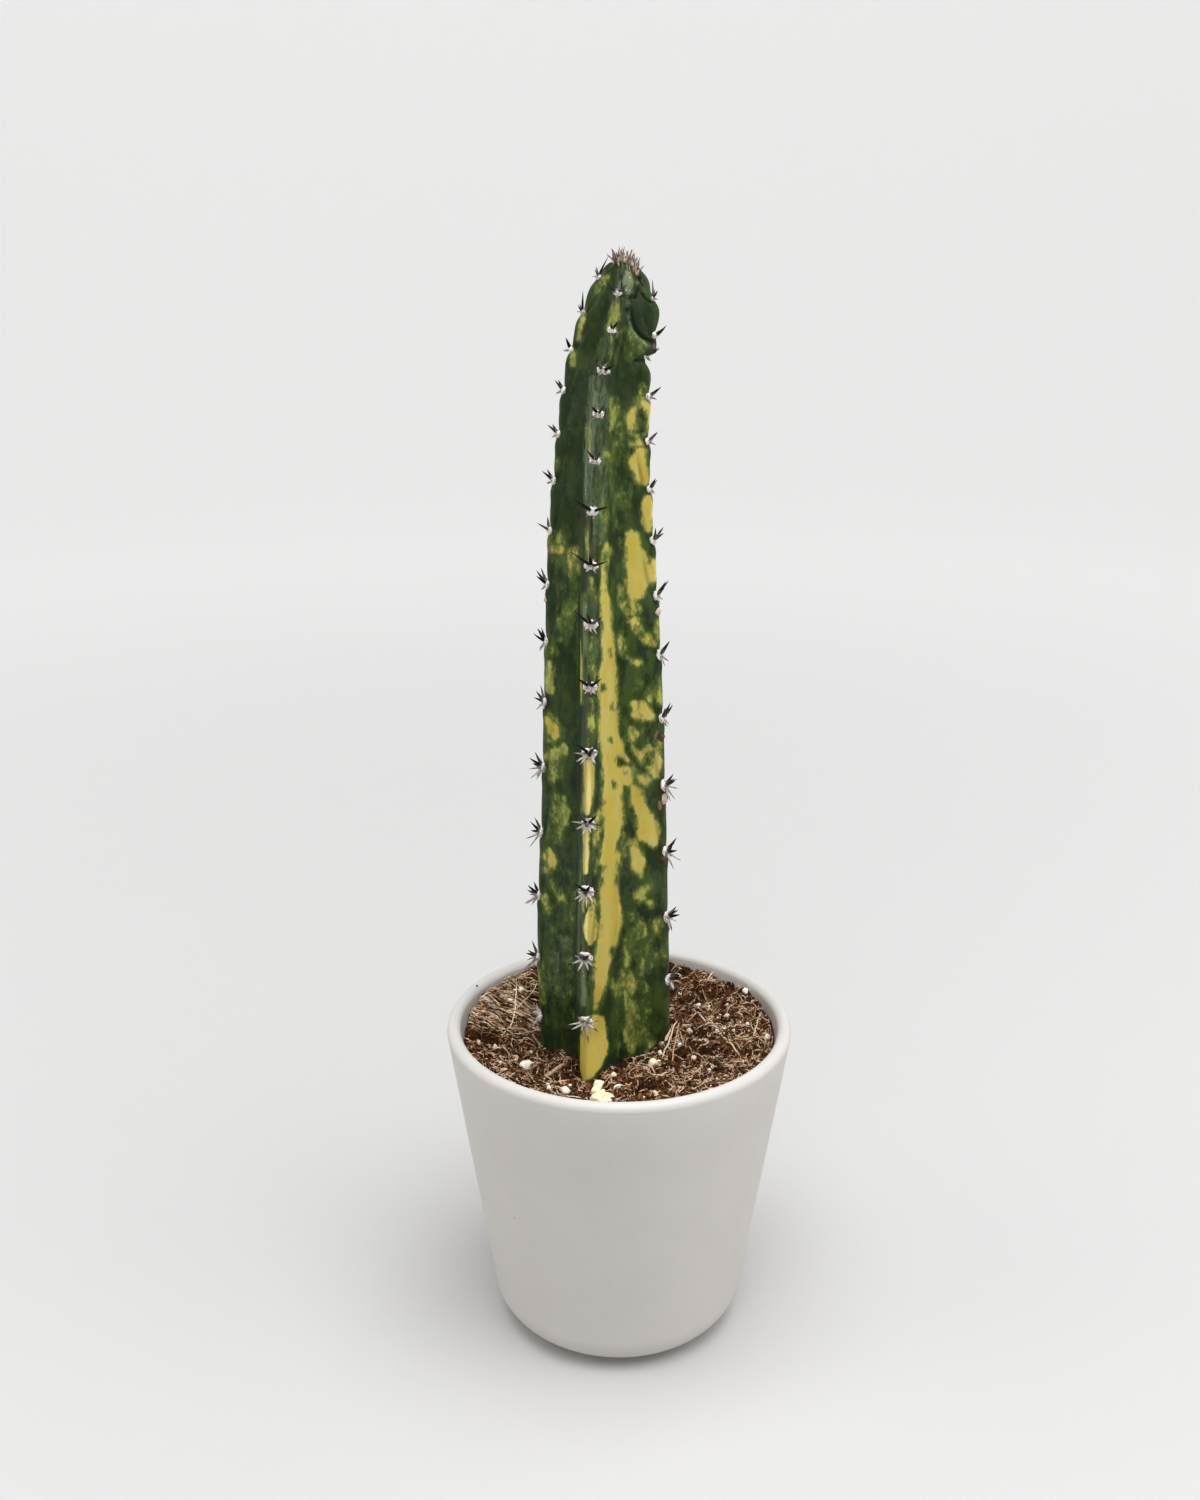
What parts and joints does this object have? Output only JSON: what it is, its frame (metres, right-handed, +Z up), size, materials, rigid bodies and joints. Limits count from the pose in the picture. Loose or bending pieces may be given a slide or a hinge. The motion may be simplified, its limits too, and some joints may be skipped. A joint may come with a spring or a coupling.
{
  "type": "potted variegated candle cactus",
  "caption": "Variegated ribbed columnar cactus with woolly areoles and spines, standing in potting mix in a tapered ceramic pot with a rounded lip.",
  "frame": {"origin": "on the pot's axis, at the plane that the pot stands on", "axes": "+Z up along the pot and the stem, -Y towards the side that the picture shows, +X to the right of that view"},
  "size_m": [0.12, 0.12, 0.3691],
  "materials": {
    "pot_ceramic": "matte",
    "potting_mix": "matte",
    "cactus_skin": "satin"
  },
  "bodies": {
    "root": {"pot": "pot_ceramic", "soil": "potting_mix", "stem": "cactus_skin"}
  },
  "joints": []
}
